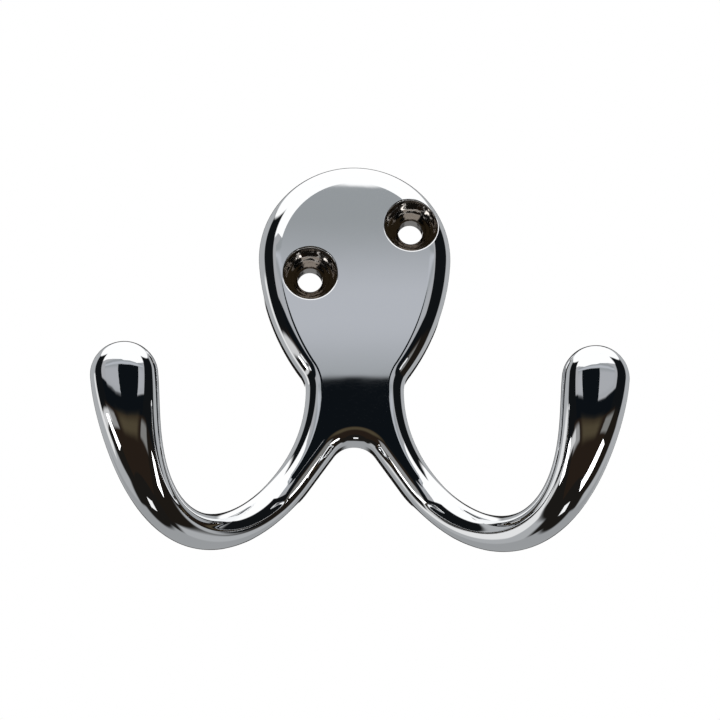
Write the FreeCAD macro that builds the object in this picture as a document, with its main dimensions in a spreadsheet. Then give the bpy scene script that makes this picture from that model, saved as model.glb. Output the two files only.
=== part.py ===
import FreeCAD, Part
import Sketcher
import math
import os

# Double robe hook: one casting for a wall, plated all over. A tear-drop plate narrows to a neck, the neck
# divides into two legs, and each leg runs on into a prong that dips, turns forward and up, and ends in a
# round tip. The origin is the centre of the plate's round head on the wall face, and the front faces -Y.
doc = FreeCAD.newDocument("double_robe_hook")

# Driving sizes in millimetres and degrees
SIZES = [
    # plate, seen from the front: head, sides, waist, flare into the legs, and the crotch between them
    ("head_radius", 13.5),
    ("side_radius", 32.0),
    ("waist_radius", 4.0),
    ("waist_half_width", 6.8),
    ("waist_drop", 19.5),
    ("flare_radius", 19.5),
    ("leg_angle", 35.5),
    ("leg_width", 4.85),
    ("crotch_radius", 3.5),
    # plate, in depth: the rounding of its front edge eases off from the head to the legs, which keep only a
    # narrow flat in front, and the edge at the wall opens from a broken edge to a rounding along the legs
    ("plate_thickness", 5.6),
    ("head_rounding", 3.2),
    ("leg_flat", 0.25),
    ("head_back_rounding", 0.4),
    ("leg_back_rounding", 1.4),
    # prong: control points of its centre line, out from the middle, forward of the wall and below the head
    ("root_run", 3.2),
    ("dip_out", 17.3),
    ("dip_forward", 5.0),
    ("dip_drop", 44.0),
    ("turn_out", 24.3),
    ("turn_forward", 17.0),
    ("turn_drop", 45.0),
    ("rise_out", 28.8),
    ("rise_forward", 27.0),
    ("rise_drop", 41.7),
    ("tip_out", 30.5),
    ("tip_forward", 28.0),
    ("tip_drop", 24.4),
    # prong: radius at its root and at its tip, and the length over which the leg's section turns round
    ("root_radius", 2.42),
    ("tip_radius", 4.4),
    ("easing_length", 5.5),
    # two countersunk screw holes on a slant, the right one higher
    ("screw_spacing", 15.9),
    ("screw_angle", 27.0),
    ("screw_right", 0.8),
    ("screw_up", 0.5),
    ("screw_bore", 3.5),
    ("screw_head", 7.5),
    ("screw_sink", 1.4),
]
sheet = doc.addObject("Spreadsheet::Sheet", "Sizes")
for row, (alias, value) in enumerate(SIZES, start=1):
    sheet.set("A%d" % row, alias)
    sheet.set("B%d" % row, str(value))
    sheet.setAlias("B%d" % row, alias)
doc.recompute()


def size(alias):
    return float(sheet.get(alias))


def origin_plane(body, role):
    return next(item for item in body.Origin.OriginFeatures if item.Role == role)


def flat(x, z):
    return FreeCAD.Vector(x, z, 0)


def arc(centre, radius, start, end):
    return Part.ArcOfCircle(Part.Circle(centre, FreeCAD.Vector(0, 0, 1), radius), start, end)


# Outline of the right half, in the wall plane: the side arc wraps the head circle from outside and runs
# into the hollow of the waist, and the flare opens from the waist down to the leg
head = size("head_radius")
side = size("side_radius")
waist = size("waist_radius")
flare = size("flare_radius")
crotch = size("crotch_radius")
leg_angle = math.radians(size("leg_angle"))
waist_point = flat(size("waist_half_width"), -size("waist_drop"))
waist_centre = waist_point + flat(waist, 0)
flare_centre = waist_point + flat(flare, 0)
reach = waist_centre.Length
along = ((side + waist) ** 2 - (side - head) ** 2 - reach ** 2) / (2 * (side - head))
shoulder = math.atan2(-waist_centre.y, waist_centre.x) - math.acos(along / reach)
side_centre = flat(-math.cos(shoulder), math.sin(shoulder)) * (side - head)
to_hollow = waist_centre - side_centre
hollow = math.atan2(-to_hollow.y, to_hollow.x)

# The leg ends square to its own direction, and its inner edge runs back up to the rounded crotch
leg_across = flat(math.cos(leg_angle), math.sin(leg_angle))
leg_outer = flare_centre - leg_across * flare
leg_inner = leg_outer - leg_across * size("leg_width")
leg_end = (leg_outer + leg_inner) * 0.5
crotch_centre = flat(0, (leg_inner.dot(leg_across) - crotch) / leg_across.y)
crotch_point = crotch_centre + leg_across * crotch
crotch_top = crotch_centre + flat(0, crotch)

# Plate blank: the half outline padded forward from the wall and mirrored
blank = doc.addObject("PartDesign::Body", "plate_blank")
outline = blank.newObject("Sketcher::SketchObject", "half_outline")
outline.AttachmentSupport = [(origin_plane(blank, "XZ_Plane"), "")]
outline.MapMode = "FlatFace"
HEAD, SIDE, WAIST, FLARE, END, INNER, CROTCH, MIDDLE = range(8)
START, STOP, CENTRE = 1, 2, 3
ORIGIN, UPRIGHT = -1, -2
outline.addGeometry(arc(flat(0, 0), head, -shoulder, math.pi / 2))
outline.addGeometry(arc(side_centre, side, -hollow, -shoulder))
outline.addGeometry(arc(waist_centre, waist, math.pi - hollow, math.pi))
outline.addGeometry(arc(flare_centre, flare, math.pi, math.pi + leg_angle))
outline.addGeometry(Part.LineSegment(leg_inner, leg_outer))
outline.addGeometry(Part.LineSegment(leg_inner, crotch_point))
outline.addGeometry(arc(crotch_centre, crotch, leg_angle, math.pi / 2))
outline.addGeometry(Part.LineSegment(crotch_top, flat(0, head)))
for rule in [
    ("Coincident", HEAD, CENTRE, ORIGIN, START),
    ("Tangent", HEAD, START, SIDE, STOP),
    ("Tangent", SIDE, START, WAIST, START),
    ("Tangent", WAIST, STOP, FLARE, START),
    ("Horizontal", WAIST, CENTRE, WAIST, STOP),
    ("Perpendicular", FLARE, STOP, END, STOP),
    ("Coincident", END, START, INNER, START),
    ("Perpendicular", END, INNER),
    ("Tangent", INNER, STOP, CROTCH, START),
    ("PointOnObject", CROTCH, CENTRE, UPRIGHT),
    ("Coincident", CROTCH, STOP, MIDDLE, START),
    ("PointOnObject", MIDDLE, START, UPRIGHT),
    ("Coincident", MIDDLE, STOP, HEAD, STOP),
    ("PointOnObject", MIDDLE, STOP, UPRIGHT),
]:
    outline.addConstraint(Sketcher.Constraint(*rule))


def drive(sketch, alias, *rule, unit=""):
    index = sketch.addConstraint(Sketcher.Constraint(*rule))
    sketch.renameConstraint(index, alias)
    sketch.setExpression("Constraints." + alias, "Sizes." + alias + unit)


drive(outline, "head_radius", "Radius", HEAD, head)
drive(outline, "side_radius", "Radius", SIDE, side)
drive(outline, "waist_radius", "Radius", WAIST, waist)
drive(outline, "waist_half_width", "DistanceX", ORIGIN, START, WAIST, STOP, waist_point.x)
drive(outline, "waist_drop", "DistanceY", WAIST, STOP, ORIGIN, START, -waist_point.y)
drive(outline, "flare_radius", "Radius", FLARE, flare)
drive(outline, "leg_angle", "Angle", END, leg_angle, unit=" * 1 deg")
drive(outline, "leg_width", "Distance", END, size("leg_width"))
drive(outline, "crotch_radius", "Radius", CROTCH, crotch)
half = blank.newObject("PartDesign::Pad", "half_plate")
half.Profile = outline
half.setExpression("Length", "Sizes.plate_thickness")
doc.recompute()
whole = blank.newObject("PartDesign::Mirrored", "whole_plate")
whole.Originals = [half]
whole.MirrorPlane = (origin_plane(blank, "YZ_Plane"), [""])
blank.Tip = whole
doc.recompute()

# Rounded edges, in front and at the wall: one radius round the head, easing along the sides to another round
# the neck and the legs. The straight edges across the ends of the legs stay sharp, because the prongs run on
# from there
thickness = size("plate_thickness")
leg_rounding = (size("leg_width") - size("leg_flat")) / 2
leg_back = size("leg_back_rounding")
rounding = []
for number, edge in enumerate(blank.Shape.Edges, start=1):
    middle = edge.valueAt((edge.FirstParameter + edge.LastParameter) / 2)
    levels = [middle.y] + [vertex.Y for vertex in edge.Vertexes]
    across_leg = abs(abs(middle.x) - leg_end.x) < 0.01 and abs(middle.z - leg_end.y) < 0.01
    if across_leg or max(levels) - min(levels) > 1e-6:
        continue
    if middle.y < -thickness / 2:
        at_head, at_leg = size("head_rounding"), leg_rounding
    else:
        at_head, at_leg = size("head_back_rounding"), leg_back
    ends = [at_leg, at_leg]
    radius = getattr(edge.Curve, "Radius", 0.0)
    if abs(radius - head) < 1e-6 and middle.z > -head / 2:
        ends = [at_head, at_head]
    elif abs(radius - side) < 1e-6:
        upper = 0 if edge.Vertexes[0].Z > edge.Vertexes[-1].Z else 1
        ends[upper] = at_head
    rounding.append((number, ends[0], ends[1]))
plate = doc.addObject("Part::Fillet", "rounded_plate")
plate.Base = blank
plate.Edges = rounding
doc.recompute()

# Prong: its centre line leaves the leg's end in the leg's own direction
root = FreeCAD.Vector(leg_end.x, -thickness / 2, leg_end.y)
leg_along = FreeCAD.Vector(math.sin(leg_angle), 0, -math.cos(leg_angle))
centre_line = Part.BezierCurve()
centre_line.setPoles(
    [root, root + leg_along * size("root_run")]
    + [
        FreeCAD.Vector(size(name + "_out"), -size(name + "_forward"), -size(name + "_drop"))
        for name in ("dip", "turn", "rise", "tip")
    ]
)

# Outline of the leg's end, across it and forward of its middle: flat at the wall, rounded in front. Each
# edge of it is given by its first point and a point half way along
half_width = size("leg_width") / 2
front_flat = half_width - leg_rounding
front_level = thickness / 2 - leg_rounding
front_turn = leg_rounding * math.sqrt(0.5)
back_flat = half_width - leg_back
back_level = leg_back - thickness / 2
back_turn = leg_back * math.sqrt(0.5)
wall_level = (front_level + back_level) / 2
leg_outline = [
    ((-front_flat, thickness / 2), (0, thickness / 2)),
    ((front_flat, thickness / 2), (front_flat + front_turn, front_level + front_turn)),
    ((half_width, front_level), (half_width, wall_level)),
    ((half_width, back_level), (back_flat + back_turn, back_level - back_turn)),
    ((back_flat, -thickness / 2), (0, -thickness / 2)),
    ((-back_flat, -thickness / 2), (-back_flat - back_turn, back_level - back_turn)),
    ((-half_width, back_level), (-half_width, wall_level)),
    ((-half_width, front_level), (-front_flat - front_turn, front_level + front_turn)),
]


def curve_edge(first, middle, last):
    if (middle - (first + last) * 0.5).Length < 1e-6:
        return Part.LineSegment(first, last).toShape()
    return Part.Arc(first, middle, last).toShape()


# Sections along the prong: the leg's outline turns into a circle, and the circle swells towards the tip
STATIONS = 12
SWELL = 6
length = centre_line.length()
across = FreeCAD.Vector(math.cos(leg_angle), 0, math.sin(leg_angle))
forward = leg_along
sections = []
for station in range(STATIONS + 1):
    place = station / STATIONS
    gone = centre_line.length(0, place) / length if station else 0.0
    middle = centre_line.value(place)
    turn = FreeCAD.Rotation(forward, centre_line.tangent(place)[0])
    forward = turn.multVec(forward)
    across = turn.multVec(across)
    front = forward.cross(across)
    swelling = gone ** SWELL * (SWELL + 1 - SWELL * gone)
    radius = size("root_radius") + (size("tip_radius") - size("root_radius")) * swelling
    ease = min(1.0, gone * length / size("easing_length"))
    ease = ease * ease * (3 - 2 * ease)
    corners = []
    for pair in leg_outline:
        for sideways, ahead in pair:
            round_by = radius / math.hypot(sideways, ahead)
            mix = 1 - ease + ease * round_by
            corners.append(middle + across * (sideways * mix) + front * (ahead * mix))
    edges = [
        curve_edge(corners[i], corners[i + 1], corners[(i + 2) % len(corners)])
        for i in range(0, len(corners), 2)
    ]
    sections.append(Part.Wire(edges))
prong = doc.addObject("Part::Feature", "right_prong")
prong.Shape = Part.makeLoft(sections, True, False)

# Tip: half a ball on the end of the prong
ball = doc.addObject("Part::Sphere", "right_tip")
ball.Angle1 = 0
ball.setExpression("Radius", "Sizes.tip_radius")
ball.Placement = FreeCAD.Placement(
    centre_line.value(1.0), FreeCAD.Rotation(FreeCAD.Vector(0, 0, 1), centre_line.tangent(1.0)[0])
)

# Casting: the plate with both prongs, the left one the mirror image of the right
right_side = doc.addObject("Part::MultiFuse", "right_side")
right_side.Shapes = [prong, ball]
left_side = doc.addObject("Part::Mirroring", "left_side")
left_side.Source = right_side
left_side.Normal = FreeCAD.Vector(1, 0, 0)
casting = doc.addObject("Part::MultiFuse", "casting")
casting.Shapes = [plate, right_side, left_side]
casting.Refine = True
doc.recompute()

# Finished hook: the casting with its two countersunk screw holes
hook = doc.addObject("PartDesign::Body", "double_robe_hook")
hook.BaseFeature = casting
centres = hook.newObject("Sketcher::SketchObject", "screw_centres")
centres.AttachmentSupport = [(origin_plane(hook, "XZ_Plane"), "")]
centres.MapMode = "FlatFace"
centres.setExpression("AttachmentOffset.Base.z", "Sizes.plate_thickness")
slant = math.radians(size("screw_angle"))
screw_middle = flat(size("screw_right"), size("screw_up"))
half_spacing = flat(math.cos(slant), math.sin(slant)) * (size("screw_spacing") / 2)
SPAN, MIDWAY, LEFT, RIGHT = range(4)
centres.addGeometry(Part.LineSegment(screw_middle - half_spacing, screw_middle + half_spacing), True)
centres.addGeometry(Part.Point(screw_middle), True)
for end in (screw_middle - half_spacing, screw_middle + half_spacing):
    centres.addGeometry(Part.Circle(end, FreeCAD.Vector(0, 0, 1), size("screw_bore") / 2))
for rule in [
    ("Symmetric", SPAN, START, SPAN, STOP, MIDWAY, START),
    ("Coincident", LEFT, CENTRE, SPAN, START),
    ("Coincident", RIGHT, CENTRE, SPAN, STOP),
    ("Equal", LEFT, RIGHT),
]:
    centres.addConstraint(Sketcher.Constraint(*rule))
drive(centres, "screw_spacing", "Distance", SPAN, size("screw_spacing"))
drive(centres, "screw_angle", "Angle", SPAN, slant, unit=" * 1 deg")
drive(centres, "screw_right", "DistanceX", ORIGIN, START, MIDWAY, START, screw_middle.x)
drive(centres, "screw_up", "DistanceY", ORIGIN, START, MIDWAY, START, screw_middle.y)
drive(centres, "screw_bore", "Diameter", LEFT, size("screw_bore"))
doc.recompute()
holes = hook.newObject("PartDesign::Hole", "screw_holes")
holes.Profile = centres
doc.recompute()
holes.ThreadType = "None"
holes.DepthType = "ThroughAll"
holes.HoleCutType = "Counterdrill"
holes.HoleCutCustomValues = True
holes.HoleCutCountersinkAngle = 90
holes.setExpression("Diameter", "Sizes.screw_bore")
holes.setExpression("HoleCutDiameter", "Sizes.screw_head")
holes.setExpression("HoleCutDepth", "Sizes.screw_sink")
doc.recompute()

# Every feature is sound, the holes have cut the casting, and the hook is one closed solid
for item in doc.Objects:
    if "Invalid" in item.State or "Error" in item.State:
        raise RuntimeError(item.Name + " failed: " + ", ".join(item.State))
if hook.Shape.isNull() or not hook.Shape.isValid() or len(hook.Shape.Solids) != 1:
    raise RuntimeError("the hook is not one sound solid")
if hook.Shape.Volume > casting.Shape.Volume - thickness * size("screw_bore") ** 2:
    raise RuntimeError("the screw holes are missing")

os.makedirs("parts", exist_ok=True)
hook.Shape.exportStep("parts/" + hook.Label + ".step")
box = hook.Shape.BoundBox
print("%s %.1f x %.1f x %.1f mm, %.0f mm3" % (hook.Label, box.XLength, box.YLength, box.ZLength, hook.Shape.Volume))
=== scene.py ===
import bpy
import math
from mathutils import Matrix, Vector
from mathutils.geometry import delaunay_2d_cdt


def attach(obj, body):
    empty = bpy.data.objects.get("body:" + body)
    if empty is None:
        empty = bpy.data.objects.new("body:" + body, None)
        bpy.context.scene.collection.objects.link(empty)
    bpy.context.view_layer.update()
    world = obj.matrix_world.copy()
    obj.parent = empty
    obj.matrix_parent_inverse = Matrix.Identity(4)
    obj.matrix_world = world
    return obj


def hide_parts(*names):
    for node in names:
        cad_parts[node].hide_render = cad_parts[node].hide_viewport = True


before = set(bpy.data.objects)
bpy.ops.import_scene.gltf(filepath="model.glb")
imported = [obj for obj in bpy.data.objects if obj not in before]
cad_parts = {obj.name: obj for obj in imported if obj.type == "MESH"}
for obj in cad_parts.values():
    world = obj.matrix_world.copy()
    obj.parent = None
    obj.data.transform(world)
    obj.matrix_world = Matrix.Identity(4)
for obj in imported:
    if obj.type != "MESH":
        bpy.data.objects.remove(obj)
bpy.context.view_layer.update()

# The hook: one zinc die casting, ground and buffed to a mirror on every side that shows, then plated. A
# tear-drop wall plate runs down through a neck into two legs, and each leg runs on into a prong that dips,
# turns forward and up, and ends in a ball. Sizes are in millimetres until the mesh is written in metres
HEAD_RADIUS = 13.5
SIDE_RADIUS = 32.0
WAIST_RADIUS = 4.0
WAIST = Vector((6.8, -19.5))
FLARE_RADIUS = 19.5
LEG_ANGLE = math.radians(35.5)
LEG_WIDTH = 4.85
LEG_FLAT = 0.25
CROTCH_RADIUS = 3.5
THICKNESS = 5.6
HEAD_ROUNDING = 3.2
LEG_ROUNDING = (LEG_WIDTH - LEG_FLAT) / 2
HEAD_BACK = 0.4
LEG_BACK = 1.4
HEAD_STEPS = 52
SIDE_STEPS = 40
WAIST_STEPS = 12
FLARE_STEPS = 30
INNER_STEPS = 14
CROTCH_STEPS = 14
ROUND_STEPS = 16
BACK_STEPS = 8
WALL_STEPS = 3


def unit(angle):
    """The way that an angle points in the front view."""
    return Vector((math.cos(angle), math.sin(angle)))


def arc_run(centre, radius, first, last, is_hollow, steps, leg_from, leg_to):
    """Points along an arc of the outline, each with the way into the metal and its roundings, in front and
    at the wall. These go from the head's, where leg is 0, to the leg's, where it is 1."""
    run = []
    for step in range(steps + 1):
        share = step / steps
        spoke = unit(first + (last - first) * share)
        leg = leg_from + (leg_to - leg_from) * share
        front = HEAD_ROUNDING + (LEG_ROUNDING - HEAD_ROUNDING) * leg
        wall = HEAD_BACK + (LEG_BACK - HEAD_BACK) * leg
        run.append((centre + spoke * radius, spoke if is_hollow else -spoke, front, wall))
    return run


# Outer edge of the right half, from the top of the head down to the leg's end: the head, the long side,
# the hollow of the waist and the flare. Inner edge, from the leg's end up to the crotch. The long side
# touches the head and the waist, so its centre follows from the triangle that the three centres make
waist_centre = WAIST + Vector((WAIST_RADIUS, 0))
flare_centre = WAIST + Vector((FLARE_RADIUS, 0))
gap = SIDE_RADIUS - HEAD_RADIUS
reach = waist_centre.length
lean = ((SIDE_RADIUS + WAIST_RADIUS) ** 2 - gap ** 2 - reach ** 2) / (2 * gap)
shoulder = math.atan2(-waist_centre.y, waist_centre.x) - math.acos(lean / reach)
side_centre = Vector((-math.cos(shoulder), math.sin(shoulder))) * gap
to_waist = waist_centre - side_centre
hollow = math.atan2(-to_waist.y, to_waist.x)
across = unit(LEG_ANGLE)
leg_outer = flare_centre - across * FLARE_RADIUS
leg_inner = leg_outer - across * LEG_WIDTH
leg_end = (leg_outer + leg_inner) / 2
crotch_centre = Vector((0, (leg_inner.dot(across) - CROTCH_RADIUS) / across.y))
crotch_start = crotch_centre + across * CROTCH_RADIUS
outer = arc_run(Vector((0, 0)), HEAD_RADIUS, math.pi / 2, -shoulder, False, HEAD_STEPS, 0, 0)
outer += arc_run(side_centre, SIDE_RADIUS, -shoulder, -hollow, False, SIDE_STEPS, 0, 1)[1:]
outer += arc_run(waist_centre, WAIST_RADIUS, math.pi - hollow, math.pi, True, WAIST_STEPS, 1, 1)[1:]
outer += arc_run(flare_centre, FLARE_RADIUS, math.pi, math.pi + LEG_ANGLE, True, FLARE_STEPS, 1, 1)[1:]
inner = [
    (leg_inner.lerp(crotch_start, step / INNER_STEPS), across, LEG_ROUNDING, LEG_BACK)
    for step in range(INNER_STEPS + 1)
]
inner += arc_run(crotch_centre, CROTCH_RADIUS, LEG_ANGLE, math.pi / 2, True, CROTCH_STEPS, 1, 1)[1:]


def lift(flat, forward):
    """A point of the front view, that far in front of the wall."""
    return Vector((flat.x, -forward, flat.y))


def front_row(station, step):
    """A point on the rounded front edge and its normal: step 0 on the side wall, the last on the face."""
    spot, inward, rounding, _ = station
    turn = math.pi / 2 * step / ROUND_STEPS
    flat = spot + inward * (rounding * (1 - math.cos(turn)))
    forward = THICKNESS - rounding + rounding * math.sin(turn)
    return lift(flat, forward), lift(-inward * math.cos(turn), math.sin(turn))


def back_row(station, step):
    """The same on the edge at the wall: step 0 on the side wall, the last on the back."""
    spot, inward, _, wall = station
    turn = math.pi / 2 * step / BACK_STEPS
    flat = spot + inward * (wall * (1 - math.cos(turn)))
    forward = wall * (1 - math.sin(turn))
    return lift(flat, forward), lift(-inward * math.cos(turn), -math.sin(turn))


# The mesh as it grows: its points, and its faces with the normal at each corner. Points in the same cell
# of a fine grid are one point, and the grid is shifted so that round sizes keep clear of its borders
CELLS_PER_MM = 5000
CELL_SHIFT = 0.137
spots, spot_of, faces, face_normals = [], {}, [], []


def corner(point):
    """The number of the mesh's point at this place."""
    key = tuple(round(value * CELLS_PER_MM + CELL_SHIFT) for value in point)
    if key not in spot_of:
        spot_of[key] = len(spots)
        spots.append(point.copy())
    return spot_of[key]


def add_face(corners):
    """A face from (point, normal) corners, turned to look along its normals."""
    ring = []
    for point, normal in corners:
        index = corner(point)
        if index not in [there for there, _ in ring]:
            ring.append((index, normal.normalized()))
    if len(ring) < 3:
        return
    a, b, c = (spots[ring[at][0]] for at in (0, 1, 2))
    facing = sum((normal for _, normal in ring), Vector())
    if (b - a).cross(c - a).dot(facing) < 0:
        ring.reverse()
    faces.append([there for there, _ in ring])
    face_normals.append([normal for _, normal in ring])


def add_rows(rows):
    """Faces between rows of (point, normal), row to row and point to point."""
    for low, high in zip(rows, rows[1:]):
        for at in range(len(low) - 1):
            add_face([low[at], low[at + 1], high[at + 1], high[at]])


def mirrored(pair):
    """A point and its normal on the other side of the hook."""
    point, normal = pair
    return Vector((-point.x, point.y, point.z)), Vector((-normal.x, normal.y, normal.z))


def add_both(rows):
    """The faces between rows, on the right side and on the left."""
    add_rows(rows)
    add_rows([[mirrored(pair) for pair in row] for row in rows])


# Side walls of the plate, with the rounded edge at the wall below them
for run in (outer, inner):
    add_both([[back_row(station, step) for station in run] for step in range(BACK_STEPS, -1, -1)])
    wall_rows = []
    for step in range(WALL_STEPS + 1):
        wall_rows.append([])
        for station in run:
            low, facing = back_row(station, 0)
            wall_rows[-1].append((low.lerp(front_row(station, 0)[0], step / WALL_STEPS), facing))
    add_both(wall_rows)

# Screw holes: countersunk seats with a short straight wall above the cone, their rims softened by buffing.
# The right seat runs out into the rounded edge of the head, so its rim dips there
SCREW_SPACING = 15.9
SCREW_SLANT = math.radians(27)
SCREW_MIDDLE = Vector((0.8, 0.5))
SEAT_RADIUS = 3.75
BORE_RADIUS = 1.75
SEAT_SINK = 1.4
RIM_SOFTNESS = 0.22
RIM_STEPS = 5
HOLE_STEPS = 96
screw_centres = [SCREW_MIDDLE + unit(SCREW_SLANT) * (SCREW_SPACING / 2 * side) for side in (-1, 1)]


def on_front(flat):
    """The point of the front at a place on the head or beside a long side, and its normal."""
    right = Vector((abs(flat.x), flat.y))
    centre, radius, rounding = Vector((0, 0)), HEAD_RADIUS, HEAD_ROUNDING
    if math.atan2(right.y, right.x) < -shoulder:
        centre, radius = side_centre, SIDE_RADIUS
        spoke = right - side_centre
        share = (math.atan2(-spoke.y, spoke.x) - shoulder) / (hollow - shoulder)
        rounding += (LEG_ROUNDING - HEAD_ROUNDING) * share
    spoke = right - centre
    depth = radius - spoke.length
    if depth >= rounding:
        return lift(flat, THICKNESS), Vector((0, -1, 0))
    cosine = 1 - depth / rounding
    sine = math.sqrt(1 - cosine * cosine)
    outward = Vector((math.copysign(spoke.x, flat.x), spoke.y)).normalized()
    return lift(flat, THICKNESS - rounding * (1 - sine)), lift(outward * cosine, sine)


rims, mouths = [], []
seat_faces = set()
for centre in screw_centres:
    spokes = [unit(math.tau * step / HOLE_STEPS) for step in range(HOLE_STEPS + 1)]
    rim = [on_front(centre + spoke * (SEAT_RADIUS + RIM_SOFTNESS)) for spoke in spokes]
    rims.append(rim)
    rows = []
    for step in range(RIM_STEPS + 1):
        share = step / RIM_STEPS
        row = []
        for spoke, (edge, facing) in zip(spokes, rim):
            ridge = on_front(centre + spoke * SEAT_RADIUS)[0]
            below = ridge + Vector((0, RIM_SOFTNESS, 0))
            bend = edge.lerp(ridge, share).lerp(ridge.lerp(below, share), share)
            row.append((bend, facing.lerp(lift(-spoke, 0), share)))
        rows.append(row)
    add_rows(rows)

    # The seat is a right-angled countersink, so its cone goes in as far as it narrows
    seat = THICKNESS - SEAT_SINK
    cone_end = seat - (SEAT_RADIUS - BORE_RADIUS)
    seat_from = len(faces)
    wall = [(point, lift(-spoke, 0)) for spoke, (point, _) in zip(spokes, rows[-1])]
    foot = [(lift(centre + spoke * SEAT_RADIUS, seat), lift(-spoke, 0)) for spoke in spokes]
    add_rows([wall, foot])
    slope = math.sqrt(0.5)
    cone = [[], [], []]
    for row, share in zip(cone, (0, 0.5, 1)):
        radius = SEAT_RADIUS + (BORE_RADIUS - SEAT_RADIUS) * share
        for spoke in spokes:
            point = lift(centre + spoke * radius, seat + (cone_end - seat) * share)
            row.append((point, lift(-spoke * slope, slope)))
    add_rows(cone)
    bore = [[], []]
    for row, forward in zip(bore, (cone_end, 0)):
        for spoke in spokes:
            row.append((lift(centre + spoke * BORE_RADIUS, forward), lift(-spoke, 0)))
    add_rows(bore)
    seat_faces.update(range(seat_from, len(faces)))
    mouths.append([point for point, _ in bore[-1]])

# Places closer than NEAR are one place. A triangle is left out where twice its area is below SLIVER
PLACE_DIGITS = 5
NEAR = 1e-6
SLIVER = 1e-5


def place_key(place):
    """A place of the front view, rounded so that equal places match."""
    return round(place.x, PLACE_DIGITS), round(place.y, PLACE_DIGITS)


def add_sheet(known, loops, open_loops, is_metal):
    """Triangles over a region of the front view. known gives a place's point and normal, loops and
    open_loops are lines that the edges keep to, and is_metal says which triangles stay."""
    places, number, edges = [], {}, set()
    for loop, closed in [(loop, True) for loop in loops] + [(loop, False) for loop in open_loops]:
        row = []
        for place in loop:
            key = place_key(place)
            if key not in number:
                number[key] = len(places)
                places.append(place)
            row.append(number[key])
        pairs = list(zip(row, row[1:])) + ([(row[-1], row[0])] if closed else [])
        edges.update(tuple(sorted(pair)) for pair in pairs if pair[0] != pair[1])
    out, _, triangles, from_place, _, _ = delaunay_2d_cdt(places, sorted(edges), [], 0, NEAR)
    for triangle in triangles:
        a, b, c = (out[at] for at in triangle)
        if abs((b - a).cross(c - a)) > SLIVER and is_metal((a + b + c) / 3):
            add_face([known(places[from_place[at][0]]) for at in triangle])


# Front of the plate: the flat face and its rounded edge as one sheet, from the side wall round the edge
# and across the face, open at the screw seats and ending square at the legs
RIM_CLEARANCE = 0.12
on_sheet = {}


def keep(pair):
    """Notes a point and its normal for the sheet, and gives its place."""
    place = Vector((pair[0].x, pair[0].z))
    on_sheet[place_key(place)] = pair
    return place


def clear_of_seats(place):
    """Whether a line may pass here without running into the rim of a seat."""
    reach = SEAT_RADIUS + RIM_SOFTNESS + RIM_CLEARANCE
    return all((place - centre).length > reach for centre in screw_centres)


right_cut = [front_row(outer[-1], step) for step in range(1, ROUND_STEPS + 1)]
right_cut += [front_row(inner[0], step) for step in range(ROUND_STEPS, 0, -1)]
right_edge = [front_row(station, 0) for station in outer] + right_cut
right_edge += [front_row(station, 0) for station in inner]
edge_loop = [keep(pair) for pair in right_edge + [mirrored(pair) for pair in right_edge[::-1]]]
front_lines = []
for step in range(1, ROUND_STEPS + 1):
    for run in (outer[::-1], inner):
        right = [front_row(station, step) for station in run]
        stretch = []
        for place in [keep(pair) for pair in right + [mirrored(pair) for pair in right[::-1]]]:
            if clear_of_seats(place):
                stretch.append(place)
            else:
                front_lines.append(stretch)
                stretch = []
        front_lines.append(stretch)
rim_loops = [[keep(pair) for pair in rim[:-1]] for rim in rims]


def inside(place, loop):
    """Whether a place lies inside a closed loop."""
    within = False
    for a, b in zip(loop, loop[1:] + loop[:1]):
        if (a.y > place.y) != (b.y > place.y):
            if place.x < a.x + (b.x - a.x) * (place.y - a.y) / (b.y - a.y):
                within = not within
    return within


add_sheet(
    lambda place: on_sheet[place_key(place)],
    [edge_loop] + rim_loops,
    [line for line in front_lines if len(line) > 1],
    lambda place: inside(place, edge_loop) and not any(inside(place, loop) for loop in rim_loops),
)

# Back of the plate, flat against the wall
LEG_BACK_STEPS = 6
half_back = LEG_WIDTH / 2 - LEG_BACK
right_back = [back_row(station, BACK_STEPS)[0] for station in outer]
for step in range(1, LEG_BACK_STEPS):
    right_back.append(lift(leg_end + across * half_back * (1 - 2 * step / LEG_BACK_STEPS), 0))
right_back += [back_row(station, BACK_STEPS)[0] for station in inner]
back_loop = right_back + [Vector((-point.x, point.y, point.z)) for point in right_back[::-1]]
back_outline = [Vector((point.x, point.z)) for point in back_loop]
bore_loops = [[Vector((point.x, point.z)) for point in mouth[:-1]] for mouth in mouths]
back_from = len(faces)
add_sheet(
    lambda place: (lift(place, 0), Vector((0, 1, 0))),
    [back_outline] + bore_loops,
    [],
    lambda place: inside(place, back_outline) and not any(inside(place, loop) for loop in bore_loops),
)
back_to = len(faces)

# Prongs: the leg's section, flat at the wall and rounded in front, turns round along a curved centre line,
# swells towards the end and closes in half a ball
ROOT_RUN = 3.2
CENTRE_LINE = [(17.3, -5.0, -44.0), (24.3, -17.0, -45.0), (28.8, -27.0, -41.7), (30.5, -28.0, -24.4)]
ROOT_RADIUS = 2.42
TIP_RADIUS = 4.4
EASING_LENGTH = 5.5
SWELL = 6
PRONG_STEPS = 110
DOME_STEPS = 24
root = lift(leg_end, THICKNESS / 2)
leg_way = Vector((math.sin(LEG_ANGLE), 0, -math.cos(LEG_ANGLE)))
poles = [root, root + leg_way * ROOT_RUN] + [Vector(pole) for pole in CENTRE_LINE]


def bezier(points, share):
    """The point that lies at this share of the curve with these poles."""
    while len(points) > 1:
        points = [a.lerp(b, share) for a, b in zip(points, points[1:])]
    return points[0]


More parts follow.
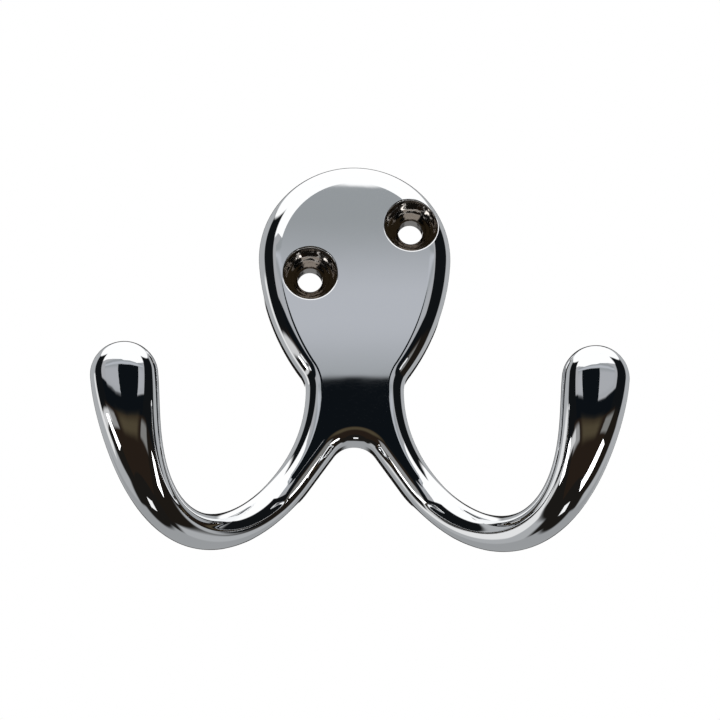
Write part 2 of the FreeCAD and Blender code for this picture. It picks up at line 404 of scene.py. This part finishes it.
def leg_section():
    """Stretches of the leg's section, as places and the way along it there. Places are measured across the
    leg and forward of its middle."""
    half, deep, small, soft = LEG_WIDTH / 2, THICKNESS / 2, LEG_ROUNDING, LEG_BACK
    front_arc = []
    for step in range(ROUND_STEPS, -1, -1):
        turn = math.pi / 2 * step / ROUND_STEPS
        place = Vector((half - small * (1 - math.cos(turn)), deep - small * (1 - math.sin(turn))))
        front_arc.append((place, Vector((math.sin(turn), -math.cos(turn)))))
    wall = []
    for step in range(WALL_STEPS, -1, -1):
        rise = (2 * deep - small - soft) * step / WALL_STEPS
        wall.append((Vector((half, -deep + soft + rise)), Vector((0, -1))))
    back_arc = []
    for step in range(BACK_STEPS + 1):
        turn = math.pi / 2 * step / BACK_STEPS
        place = Vector((half - soft * (1 - math.cos(turn)), -deep + soft * (1 - math.sin(turn))))
        back_arc.append((place, Vector((-math.sin(turn), -math.cos(turn)))))
    back = []
    for step in range(LEG_BACK_STEPS + 1):
        place = Vector(((half - soft) * (1 - 2 * step / LEG_BACK_STEPS), -deep))
        back.append((place, Vector((-1, 0))))
    flipped = [
        [(Vector((-place.x, place.y)), Vector((way.x, -way.y))) for place, way in stretch[::-1]]
        for stretch in (back_arc, wall, front_arc)
    ]
    front = [(Vector((place, deep)), Vector((1, 0))) for place in (small - half, half - small)]
    return [front, front_arc, wall, back_arc, back] + flipped


shares = [step / PRONG_STEPS for step in range(PRONG_STEPS + 1)]
middles = [bezier(poles, share) for share in shares]
ways = [(bezier(poles[1:], share) - bezier(poles[:-1], share)).normalized() for share in shares]
lengths = [0.0]
for a, b in zip(middles, middles[1:]):
    lengths.append(lengths[-1] + (b - a).length)
sideways, forwards = Vector((across.x, 0, across.y)), Vector((0, -1, 0))
rings = []
for at, (middle, way) in enumerate(zip(middles, ways)):
    if at:
        turn = ways[at - 1].rotation_difference(way)
        sideways, forwards = turn @ sideways, turn @ forwards
    gone = lengths[at] / lengths[-1]
    radius = ROOT_RADIUS + (TIP_RADIUS - ROOT_RADIUS) * gone ** SWELL * (SWELL + 1 - SWELL * gone)
    ease = min(1.0, lengths[at] / EASING_LENGTH)
    ease = ease * ease * (3 - 2 * ease)
    ring = []
    for stretch in leg_section():
        points = []
        for place, along in stretch:
            far = place.length
            mix = 1 - ease + ease * radius / far
            slide = along * mix - place * (ease * radius * place.dot(along) / far ** 3)
            points.append((
                middle + sideways * (place.x * mix) + forwards * (place.y * mix),
                sideways * slide.x + forwards * slide.y,
            ))
        ring.append(points)
    rings.append(ring)


# The buffing wheel has flattened the front of each end a little, against a plane along the end's own
# direction, turned slightly outwards and up. The more PRESS, the nearer the flat lies to the ball's middle,
# and the higher its power, the sharper the flat's edge
PRESS = 1.25
PRESS_POWER = 5
PRESS_OUTWARDS = 0.045
PRESS_UPWARDS = 0.031
press_way = Vector((PRESS_OUTWARDS, -1, 0))
press_way = (press_way - ways[-1] * (press_way.dot(ways[-1]) - PRESS_UPWARDS)).normalized()


def pressed(pair):
    """A point of the prong or its end, with its normal, after the wheel has flattened its front."""
    point, facing = pair
    height = (point - middles[-1]).dot(press_way)
    if height <= 0:
        return pair
    squeeze = 1 + (PRESS * height / TIP_RADIUS) ** PRESS_POWER
    give = squeeze ** (-1 - 1 / PRESS_POWER)
    facing = facing.normalized()
    turned = facing * give + press_way * (facing.dot(press_way) * (1 - give))
    return point - press_way * (height - height * squeeze ** (-1 / PRESS_POWER)), turned


for part in range(len(rings[0])):
    rows = []
    for at, ring in enumerate(rings):
        row = []
        for number, (point, along) in enumerate(ring[part]):
            if at in (0, PRONG_STEPS):
                run = ways[at]
            else:
                run = rings[at + 1][part][number][0] - rings[at - 1][part][number][0]
            facing = run.cross(along)
            if facing.dot(point - middles[at]) < 0:
                facing = -facing
            row.append(pressed((point, facing)))
        rows.append(row)
    add_both(rows)
    dome = []
    for step in range(DOME_STEPS + 1):
        rise = math.pi / 2 * step / DOME_STEPS
        row = []
        for point, _ in rings[-1][part]:
            spoke = (point - middles[-1]).normalized()
            facing = spoke * math.cos(rise) + ways[-1] * math.sin(rise)
            row.append(pressed((middles[-1] + facing * TIP_RADIUS, facing)))
        dome.append(row)
    add_both(dome)

MM = 0.001
mesh = bpy.data.meshes.new("robe_hook")
mesh.from_pydata([point * MM for point in spots], [], faces)
mesh.polygons.foreach_set("use_smooth", [True] * len(faces))
mesh.normals_split_custom_set([normal for face in face_normals for normal in face])
mesh.update()
hook = bpy.data.objects.new("robe_hook", mesh)
bpy.context.scene.collection.objects.link(hook)


def linear(hex_colour):
    """An sRGB hex colour as linear red, green, blue and a full alpha."""
    parts = [int(hex_colour[at:at + 2], 16) / 255 for at in (1, 3, 5)]
    return [part / 12.92 if part <= 0.04045 else ((part + 0.055) / 1.055) ** 2.4 for part in parts] + [1.0]


def add_node(tree, kind, settings=None, inputs=None):
    """A node with its settings, and each input set to a value or linked to another node's output."""
    node = tree.nodes.new(kind)
    for name, value in (settings or {}).items():
        setattr(node, name, value)
    for socket, value in (inputs or {}).items():
        if isinstance(value, bpy.types.NodeSocket):
            tree.links.new(value, node.inputs[socket])
        else:
            node.inputs[socket].default_value = value
    return node


# Bright chrome on a buffed casting: a mirror, with faint buffing haze that comes and goes and the slight
# waviness that the wheel leaves. Inside the screw holes and on the back the wheel doesn't reach, so there
# the plating is thin, dull and darker over the cast metal, or over the rings that the cutter left in the
# seats. The rings stand further apart than a cutter's, so that they show, and RING_SHARE is their height
# as a share of the waves'
RING_SHARE = 0.15


def plating(name, colour, smooth, dull, haze_size, wave_size, wave_depth, ring_pitch=None):
    """A plated finish, with sizes in millimetres: its roughness runs from smooth to dull in patches of
    haze_size, and its surface has waves of that size and depth, and rings round the screw holes."""
    finish = bpy.data.materials.new(name)
    finish.use_nodes = True
    tree = finish.node_tree
    tree.nodes.clear()
    place = add_node(tree, "ShaderNodeTexCoord").outputs["Object"]
    haze = add_node(
        tree, "ShaderNodeTexNoise", inputs={
            "Vector": place, "Scale": 1 / (haze_size * MM), "Detail": 4.0, "Roughness": 0.6})
    polish = add_node(
        tree, "ShaderNodeMapRange", inputs={
            "Value": haze.outputs["Fac"], "From Min": 0.3, "From Max": 0.7,
            "To Min": smooth, "To Max": dull})
    waves = add_node(
        tree, "ShaderNodeTexNoise", inputs={"Vector": place, "Scale": 1 / (wave_size * MM), "Detail": 1.0})
    height = waves.outputs["Fac"]
    if ring_pitch:
        flat = add_node(tree, "ShaderNodeVectorMath", {"operation": "MULTIPLY"}, {0: place, 1: (1, 0, 1)})
        far = [
            add_node(
                tree, "ShaderNodeVectorMath", {"operation": "DISTANCE"},
                {0: flat.outputs["Vector"], 1: lift(centre, 0) * MM})
            for centre in screw_centres
        ]
        nearest = add_node(
            tree, "ShaderNodeMath", {"operation": "MINIMUM"},
            {0: far[0].outputs["Value"], 1: far[1].outputs["Value"]})
        turn = add_node(
            tree, "ShaderNodeMath", {"operation": "MULTIPLY"},
            {0: nearest.outputs["Value"], 1: math.tau / (ring_pitch * MM)})
        grooves = add_node(tree, "ShaderNodeMath", {"operation": "SINE"}, {0: turn.outputs["Value"]})
        grooved = add_node(
            tree, "ShaderNodeMath", {"operation": "MULTIPLY_ADD"},
            {0: grooves.outputs["Value"], 1: RING_SHARE, 2: height})
        height = grooved.outputs["Value"]
    relief = add_node(
        tree, "ShaderNodeBump", inputs={"Strength": 1.0, "Distance": wave_depth * MM, "Height": height})
    metal = add_node(
        tree, "ShaderNodeBsdfPrincipled", inputs={
            "Base Color": linear(colour), "Metallic": 1.0,
            "Roughness": polish.outputs["Result"], "Normal": relief.outputs["Normal"]})
    add_node(tree, "ShaderNodeOutputMaterial", inputs={"Surface": metal.outputs["BSDF"]})
    mesh.materials.append(finish)


BUFFED, DRILLED, GROUND = range(3)
plating(
    "buffed_chrome", "#F4F5F6", smooth=0.005, dull=0.025, haze_size=11.0, wave_size=6.0, wave_depth=0.002)
plating(
    "drilled_seat", "#B2ACA6", smooth=0.05, dull=0.12, haze_size=1.5, wave_size=0.9, wave_depth=0.03,
    ring_pitch=0.6)
plating(
    "dull_back", "#BDBCB9", smooth=0.3, dull=0.42, haze_size=2.5, wave_size=0.4, wave_depth=0.006)
finish_of = [
    DRILLED if at in seat_faces else GROUND if back_from <= at < back_to else BUFFED
    for at in range(len(faces))
]
mesh.polygons.foreach_set("material_index", finish_of)
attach(hook, "root")
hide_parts("double_robe_hook")

# The floor: a pale table top of matt laminate, well below the hook, which hangs clear of it. It is plain
# white to the camera, and in what the metal shows of it
FLOOR_HALF = 0.4
FLOOR_LEVEL = -4.0
floor_mesh = bpy.data.meshes.new("floor")
floor_mesh.from_pydata(
    [(x * FLOOR_HALF, y * FLOOR_HALF, FLOOR_LEVEL) for x, y in ((-1, -1), (1, -1), (1, 1), (-1, 1))],
    [], [(0, 1, 2, 3)])
floor = bpy.data.objects.new("floor", floor_mesh)
bpy.context.scene.collection.objects.link(floor)
laminate = bpy.data.materials.new("pale_laminate")
laminate.use_nodes = True
tree = laminate.node_tree
tree.nodes.clear()
matt = add_node(
    tree, "ShaderNodeBsdfPrincipled", inputs={"Base Color": linear("#F2F2F0"), "Roughness": 0.7})
pale = add_node(tree, "ShaderNodeEmission", inputs={"Color": linear("#FFFFFF"), "Strength": 1.0})
ray = add_node(tree, "ShaderNodeLightPath")
reflected = add_node(
    tree, "ShaderNodeMath", {"operation": "MAXIMUM"},
    {0: ray.outputs["Is Glossy Ray"], 1: ray.outputs["Is Transmission Ray"]})
plain_view = add_node(
    tree, "ShaderNodeMath", {"operation": "MAXIMUM"},
    {0: ray.outputs["Is Camera Ray"], 1: reflected.outputs["Value"]})
shown = add_node(
    tree, "ShaderNodeMixShader",
    inputs={0: plain_view.outputs["Value"], 1: matt.outputs["BSDF"], 2: pale.outputs["Emission"]})
add_node(tree, "ShaderNodeOutputMaterial", inputs={"Surface": shown.outputs["Shader"]})
floor_mesh.materials.append(laminate)

# The studio: a light tent with a white top, grey side walls, white paper behind the hook and an open, dark
# front, lit evenly. The chrome shows it card by card. A card spans bearings, with 0 in front and positive
# to the right, and heights, both in degrees
TENT_LEVEL = 1.1
world = bpy.data.worlds.new("light_tent")
bpy.context.scene.world = world
world.use_nodes = True
tent = world.node_tree
tent.nodes.clear()
way = add_node(tent, "ShaderNodeTexCoord")
parts = add_node(tent, "ShaderNodeSeparateXYZ", inputs={"Vector": way.outputs["Generated"]})
ahead = add_node(tent, "ShaderNodeMath", {"operation": "MULTIPLY"}, {0: parts.outputs["Y"], 1: -1.0})
turn = add_node(
    tent, "ShaderNodeMath", {"operation": "ARCTAN2"}, {0: parts.outputs["X"], 1: ahead.outputs["Value"]})
rise = add_node(tent, "ShaderNodeMath", {"operation": "ARCSINE"}, {0: parts.outputs["Z"]})
bearing, height = (
    add_node(tent, "ShaderNodeMath", {"operation": "DEGREES"}, {0: angle.outputs["Value"]}).outputs[0]
    for angle in (turn, rise)
)


def card_cover(turned, left, right, low, high, spread, soft):
    """How far each direction lies on a card: 1 on it, and 0 past its soft edges. Its sides move apart by
    spread for each degree below its top."""
    below = add_node(tent, "ShaderNodeMath", {"operation": "SUBTRACT"}, {0: high, 1: height})
    covers = []
    for angle, first, last, growth in ((turned, left, right, spread), (height, low, high, 0)):
        half = (last - first) / 2
        off = add_node(tent, "ShaderNodeMath", {"operation": "SUBTRACT"}, {0: angle, 1: first + half})
        far = add_node(tent, "ShaderNodeMath", {"operation": "ABSOLUTE"}, {0: off.outputs["Value"]})
        past = add_node(
            tent, "ShaderNodeMath", {"operation": "MULTIPLY_ADD"},
            {0: below.outputs["Value"], 1: -growth, 2: far.outputs["Value"]})
        covers.append(add_node(
            tent, "ShaderNodeMapRange", {"interpolation_type": "SMOOTHSTEP"}, {
                "Value": past.outputs["Value"], "From Min": half - soft, "From Max": half + soft,
                "To Min": 1.0, "To Max": 0.0}))
    cover = add_node(
        tent, "ShaderNodeMath", {"operation": "MULTIPLY"},
        {at: node.outputs["Result"] for at, node in enumerate(covers)})
    return cover.outputs["Value"]


# Each card as left, right, low and high edge, spread, softness of its edges and colour
CARDS = [
    # The white top, and the grey walls at the sides and low behind
    (-200, 200, 45, 95, 0, 3.0, "#FFFFFF"),
    (-160, -97, -50, 45, 0, 4.0, "#A6A8AA"),
    (105, 160, -50, 45, 0, 4.0, "#A6A8AA"),
    (-200, -130, -62, -8, 0, 4.0, "#96989A"),
    (130, 200, -62, -8, 0, 4.0, "#96989A"),
    # The front, which the flat of the plate shows: black below, then grey paper that fades, then white
    (-60, 60, -8, 10, 0, 1.0, "#0C1014"),
    (-45, 0, 6, 50, 0, 0.6, "#A4A5A8"),
    (0, 38, 5, 50, 0, 0.6, "#A4A5A8"),
    (-30, 30, 6, 21, 0, 0.6, "#93979A"),
    (-30, 30, 6, 14, 0, 2.0, "#A6A8AC"),
    (-30, 30, 16, 18.2, 0, 0.9, "#B1B4BA"),
    (-60, 60, 26, 50, 0, 1.0, "#FFFFFF"),
    (-127.4, 131, 19.7, 50, -4, 0.05, "#FFFFFF"),
    # Black boards beside the grey paper, and one in front of it
    (-97, -45, -8, 42, 0, 2.0, "#101214"),
    (38, 105, -8, 42, 0, 2.0, "#101214"),
    (-11, 12, -6, 15.64, 0, 0.06, "#0C1014"),
    # The dark, brownish front below them, with paler cards towards the sides
    (-60, 60, -62, -6, 0, 1.5, "#241C16"),
    (-24, 24, -26, -8, 0, 7.0, "#4A4232"),
    (60, 110, -60, -8, 0, 3.0, "#1C1814"),
    (-58, -35, -23, -9, 0, 2.5, "#8E8E8E"),
    (36, 62, -23, -9, 0, 2.5, "#7A7A78"),
    (-96, -52, -18, -10, 0, 1.5, "#C8C8C8"),
    (-112, -97, -26, 9, 0, 2.0, "#E0E0E0"),
]

# Cards lie one over the other, the last on top, over a dark ground. A Mix node takes its colours at inputs
# 6 and 7 and gives one at output 2
shade = linear("#1A1816")
for left, right, low, high, spread, soft, colour in CARDS:
    cover = card_cover(bearing, left, right, low, high, spread, soft)
    card = add_node(
        tent, "ShaderNodeMix", {"data_type": "RGBA"}, {0: cover, 6: shade, 7: linear(colour)})
    shade = card.outputs[2]
glow = add_node(tent, "ShaderNodeBackground", inputs={"Color": shade, "Strength": TENT_LEVEL})

# The paper is white to the camera, and to whatever the metal shows of it straight behind the hook
PAPER_HALF_WIDTH = 8
PAPER_LOW = 5
PAPER_HIGH = 27
PAPER_SOFT = 1.0
paper = add_node(tent, "ShaderNodeBackground", inputs={"Color": linear("#FFFFFF"), "Strength": 1.0})
sideways_turn = add_node(tent, "ShaderNodeMath", {"operation": "ABSOLUTE"}, {0: bearing})
from_behind = add_node(
    tent, "ShaderNodeMath", {"operation": "SUBTRACT"}, {0: 180.0, 1: sideways_turn.outputs["Value"]})
behind = card_cover(
    from_behind.outputs["Value"], -PAPER_HALF_WIDTH, PAPER_HALF_WIDTH, PAPER_LOW, PAPER_HIGH,
    spread=0, soft=PAPER_SOFT)
ray = add_node(tent, "ShaderNodeLightPath")
reflected = add_node(
    tent, "ShaderNodeMath", {"operation": "MAXIMUM"},
    {0: ray.outputs["Is Glossy Ray"], 1: ray.outputs["Is Transmission Ray"]})
paper_in_metal = add_node(
    tent, "ShaderNodeMath", {"operation": "MULTIPLY"}, {0: reflected.outputs["Value"], 1: behind})
paper_view = add_node(
    tent, "ShaderNodeMath", {"operation": "MAXIMUM"},
    {0: ray.outputs["Is Camera Ray"], 1: paper_in_metal.outputs["Value"]})
seen = add_node(
    tent, "ShaderNodeMixShader", inputs={
        0: paper_view.outputs["Value"], 1: glow.outputs["Background"], 2: paper.outputs["Background"]})
add_node(tent, "ShaderNodeOutputWorld", inputs={"Surface": seen.outputs["Shader"]})
bpy.context.scene.view_settings.view_transform = "Standard"

# Two strip lamps stand close to the hook, low in front of it at each side, out of the camera's sight. Each
# runs from one point to another and faces the prongs, which show it as a bright streak. Its power goes by
# its area, in watts for each square metre
LAMP_POWER = 8.8
LAMP_AIM = Vector((0, -0.015, -0.03))
LAMPS = [
    ("left_strip", Vector((-0.124, -0.065, -0.0535)), Vector((-0.106, -0.056, -0.096)), 0.022),
    ("right_strip", Vector((0.076, -0.0465, -0.0595)), Vector((0.0445, -0.037, -0.0845)), 0.0145),
]
for name, first, last, width in LAMPS:
    lamp = bpy.data.lights.new(name, "AREA")
    lamp.shape = "RECTANGLE"
    lamp.size = width
    lamp.size_y = (last - first).length
    lamp.energy = LAMP_POWER * lamp.size * lamp.size_y
    middle = (first + last) / 2
    along = (last - first).normalized()
    away = middle - LAMP_AIM
    away = (away - along * away.dot(along)).normalized()
    strip = bpy.data.objects.new(name, lamp)
    strip.matrix_world = Matrix.LocRotScale(
        middle, Matrix((along.cross(away), along, away)).transposed(), None)
    strip.visible_camera = False
    bpy.context.scene.collection.objects.link(strip)

# The camera looks up at the hook from a little below and to its left, as in the photograph. At the point
# that it aims at, a pixel of the square picture spans PIXEL metres
AIM = Vector((0.000585, -0.007552, -0.01625))
AZIMUTH = math.radians(-1.83)
ELEVATION = math.radians(-16.0)
DISTANCE = 0.370
PIXEL = 0.0001375
PICTURE_WIDTH = 720
SENSOR_WIDTH = 36.0
back = Vector((
    math.sin(AZIMUTH) * math.cos(ELEVATION),
    -math.cos(AZIMUTH) * math.cos(ELEVATION),
    math.sin(ELEVATION),
))
lens = bpy.data.cameras.new("camera")
lens.sensor_width = SENSOR_WIDTH
lens.lens = SENSOR_WIDTH * (DISTANCE / PIXEL) / PICTURE_WIDTH
lens.clip_start, lens.clip_end = 0.01, 20.0
camera = bpy.data.objects.new("camera", lens)
camera.location = AIM + back * DISTANCE
camera.rotation_mode = "QUATERNION"
camera.rotation_quaternion = (-back).to_track_quat("-Z", "Y")
bpy.context.scene.collection.objects.link(camera)
bpy.context.scene.camera = camera
